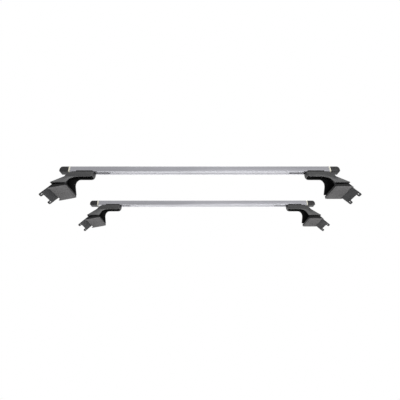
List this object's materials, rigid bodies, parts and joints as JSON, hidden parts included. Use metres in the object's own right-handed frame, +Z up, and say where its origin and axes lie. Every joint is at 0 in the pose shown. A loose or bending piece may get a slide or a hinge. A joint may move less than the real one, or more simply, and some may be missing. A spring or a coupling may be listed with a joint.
{
  "type": "pair of roof crossbars",
  "caption": "Matched aluminium roof crossbars with black moulded feet that slide along the bar, rocking pads for the roof and forked brackets for the door frame.",
  "frame": {"origin": "under the middle of the pair, on the level of the bracket tips", "axes": "+X along the bars to the right-hand feet, +Y to the rear bar, +Z up"},
  "size_m": [1.299, 0.454, 0.153],
  "materials": {
    "bar_aluminium": "satin anodised, drawn lengthwise",
    "ring_plastic": "moulded, pale cream",
    "cap_plastic": "moulded, fine grain",
    "housing_plastic": "moulded, fine grain",
    "gasket_rubber": "matt",
    "tower_steel": "black dip coat",
    "bolt_steel": "black zinc plated",
    "bracket_steel": "dark grey coat",
    "shoe_plastic": "moulded",
    "pad_rubber": "matt grey"
  },
  "bodies": {
    "bars": {"front_bar": "bar_aluminium", "front_left_ring": "ring_plastic", "front_left_end_cap": "cap_plastic", "front_right_ring": "ring_plastic", "front_right_end_cap": "cap_plastic", "rear_bar": "bar_aluminium", "rear_left_ring": "ring_plastic", "rear_left_end_cap": "cap_plastic", "rear_right_ring": "ring_plastic", "rear_right_end_cap": "cap_plastic"},
    "front_left_foot": {"front_left_gasket": "gasket_rubber", "front_left_housing": "housing_plastic", "front_left_tower": "tower_steel", "front_left_saddle_bolt": "bolt_steel", "front_left_nut_plate": "bolt_steel", "front_left_pivot_pin": "bolt_steel", "front_left_bracket": "bracket_steel", "front_left_clamp_bolt": "bolt_steel", "front_left_clamp_nut": "bolt_steel"},
    "front_left_rocker": {"front_left_shoe": "shoe_plastic", "front_left_roof_pad": "pad_rubber"},
    "front_right_foot": {"front_right_gasket": "gasket_rubber", "front_right_housing": "housing_plastic", "front_right_tower": "tower_steel", "front_right_saddle_bolt": "bolt_steel", "front_right_nut_plate": "bolt_steel", "front_right_pivot_pin": "bolt_steel", "front_right_bracket": "bracket_steel", "front_right_clamp_bolt": "bolt_steel", "front_right_clamp_nut": "bolt_steel"},
    "front_right_rocker": {"front_right_shoe": "shoe_plastic", "front_right_roof_pad": "pad_rubber"},
    "rear_left_foot": {"rear_left_gasket": "gasket_rubber", "rear_left_housing": "housing_plastic", "rear_left_tower": "tower_steel", "rear_left_saddle_bolt": "bolt_steel", "rear_left_nut_plate": "bolt_steel", "rear_left_pivot_pin": "bolt_steel", "rear_left_bracket": "bracket_steel", "rear_left_clamp_bolt": "bolt_steel", "rear_left_clamp_nut": "bolt_steel"},
    "rear_left_rocker": {"rear_left_shoe": "shoe_plastic", "rear_left_roof_pad": "pad_rubber"},
    "rear_right_foot": {"rear_right_gasket": "gasket_rubber", "rear_right_housing": "housing_plastic", "rear_right_tower": "tower_steel", "rear_right_saddle_bolt": "bolt_steel", "rear_right_nut_plate": "bolt_steel", "rear_right_pivot_pin": "bolt_steel", "rear_right_bracket": "bracket_steel", "rear_right_clamp_bolt": "bolt_steel", "rear_right_clamp_nut": "bolt_steel"},
    "rear_right_rocker": {"rear_right_shoe": "shoe_plastic", "rear_right_roof_pad": "pad_rubber"}
  },
  "joints": [
    {"name": "front_left_slide", "type": "slide", "parent": "bars", "child": "front_left_foot", "axis": [1, 0, 0], "range_m": [-0.033, 0.102]},
    {"name": "front_left_tilt", "type": "hinge", "parent": "front_left_foot", "child": "front_left_rocker", "pos_m": [-0.5766, -0.169, 0.058], "axis": [0, -1, 0], "range_deg": [-15, 1]},
    {"name": "front_right_slide", "type": "slide", "parent": "bars", "child": "front_right_foot", "axis": [-1, 0, 0], "range_m": [-0.029, 0.106]},
    {"name": "front_right_tilt", "type": "hinge", "parent": "front_right_foot", "child": "front_right_rocker", "pos_m": [0.5656, -0.169, 0.058], "axis": [0, 1, 0], "range_deg": [-3, 13]},
    {"name": "rear_left_slide", "type": "slide", "parent": "bars", "child": "rear_left_foot", "axis": [1, 0, 0], "range_m": [-0.047, 0.088]},
    {"name": "rear_left_tilt", "type": "hinge", "parent": "rear_left_foot", "child": "rear_left_rocker", "pos_m": [-0.5476, 0.169, 0.058], "axis": [0, -1, 0], "range_deg": [-14, 2]},
    {"name": "rear_right_slide", "type": "slide", "parent": "bars", "child": "rear_right_foot", "axis": [-1, 0, 0], "range_m": [-0.033, 0.102]},
    {"name": "rear_right_tilt", "type": "hinge", "parent": "rear_right_foot", "child": "rear_right_rocker", "pos_m": [0.5766, 0.169, 0.058], "axis": [0, 1, 0], "range_deg": [-3, 13]}
  ]
}
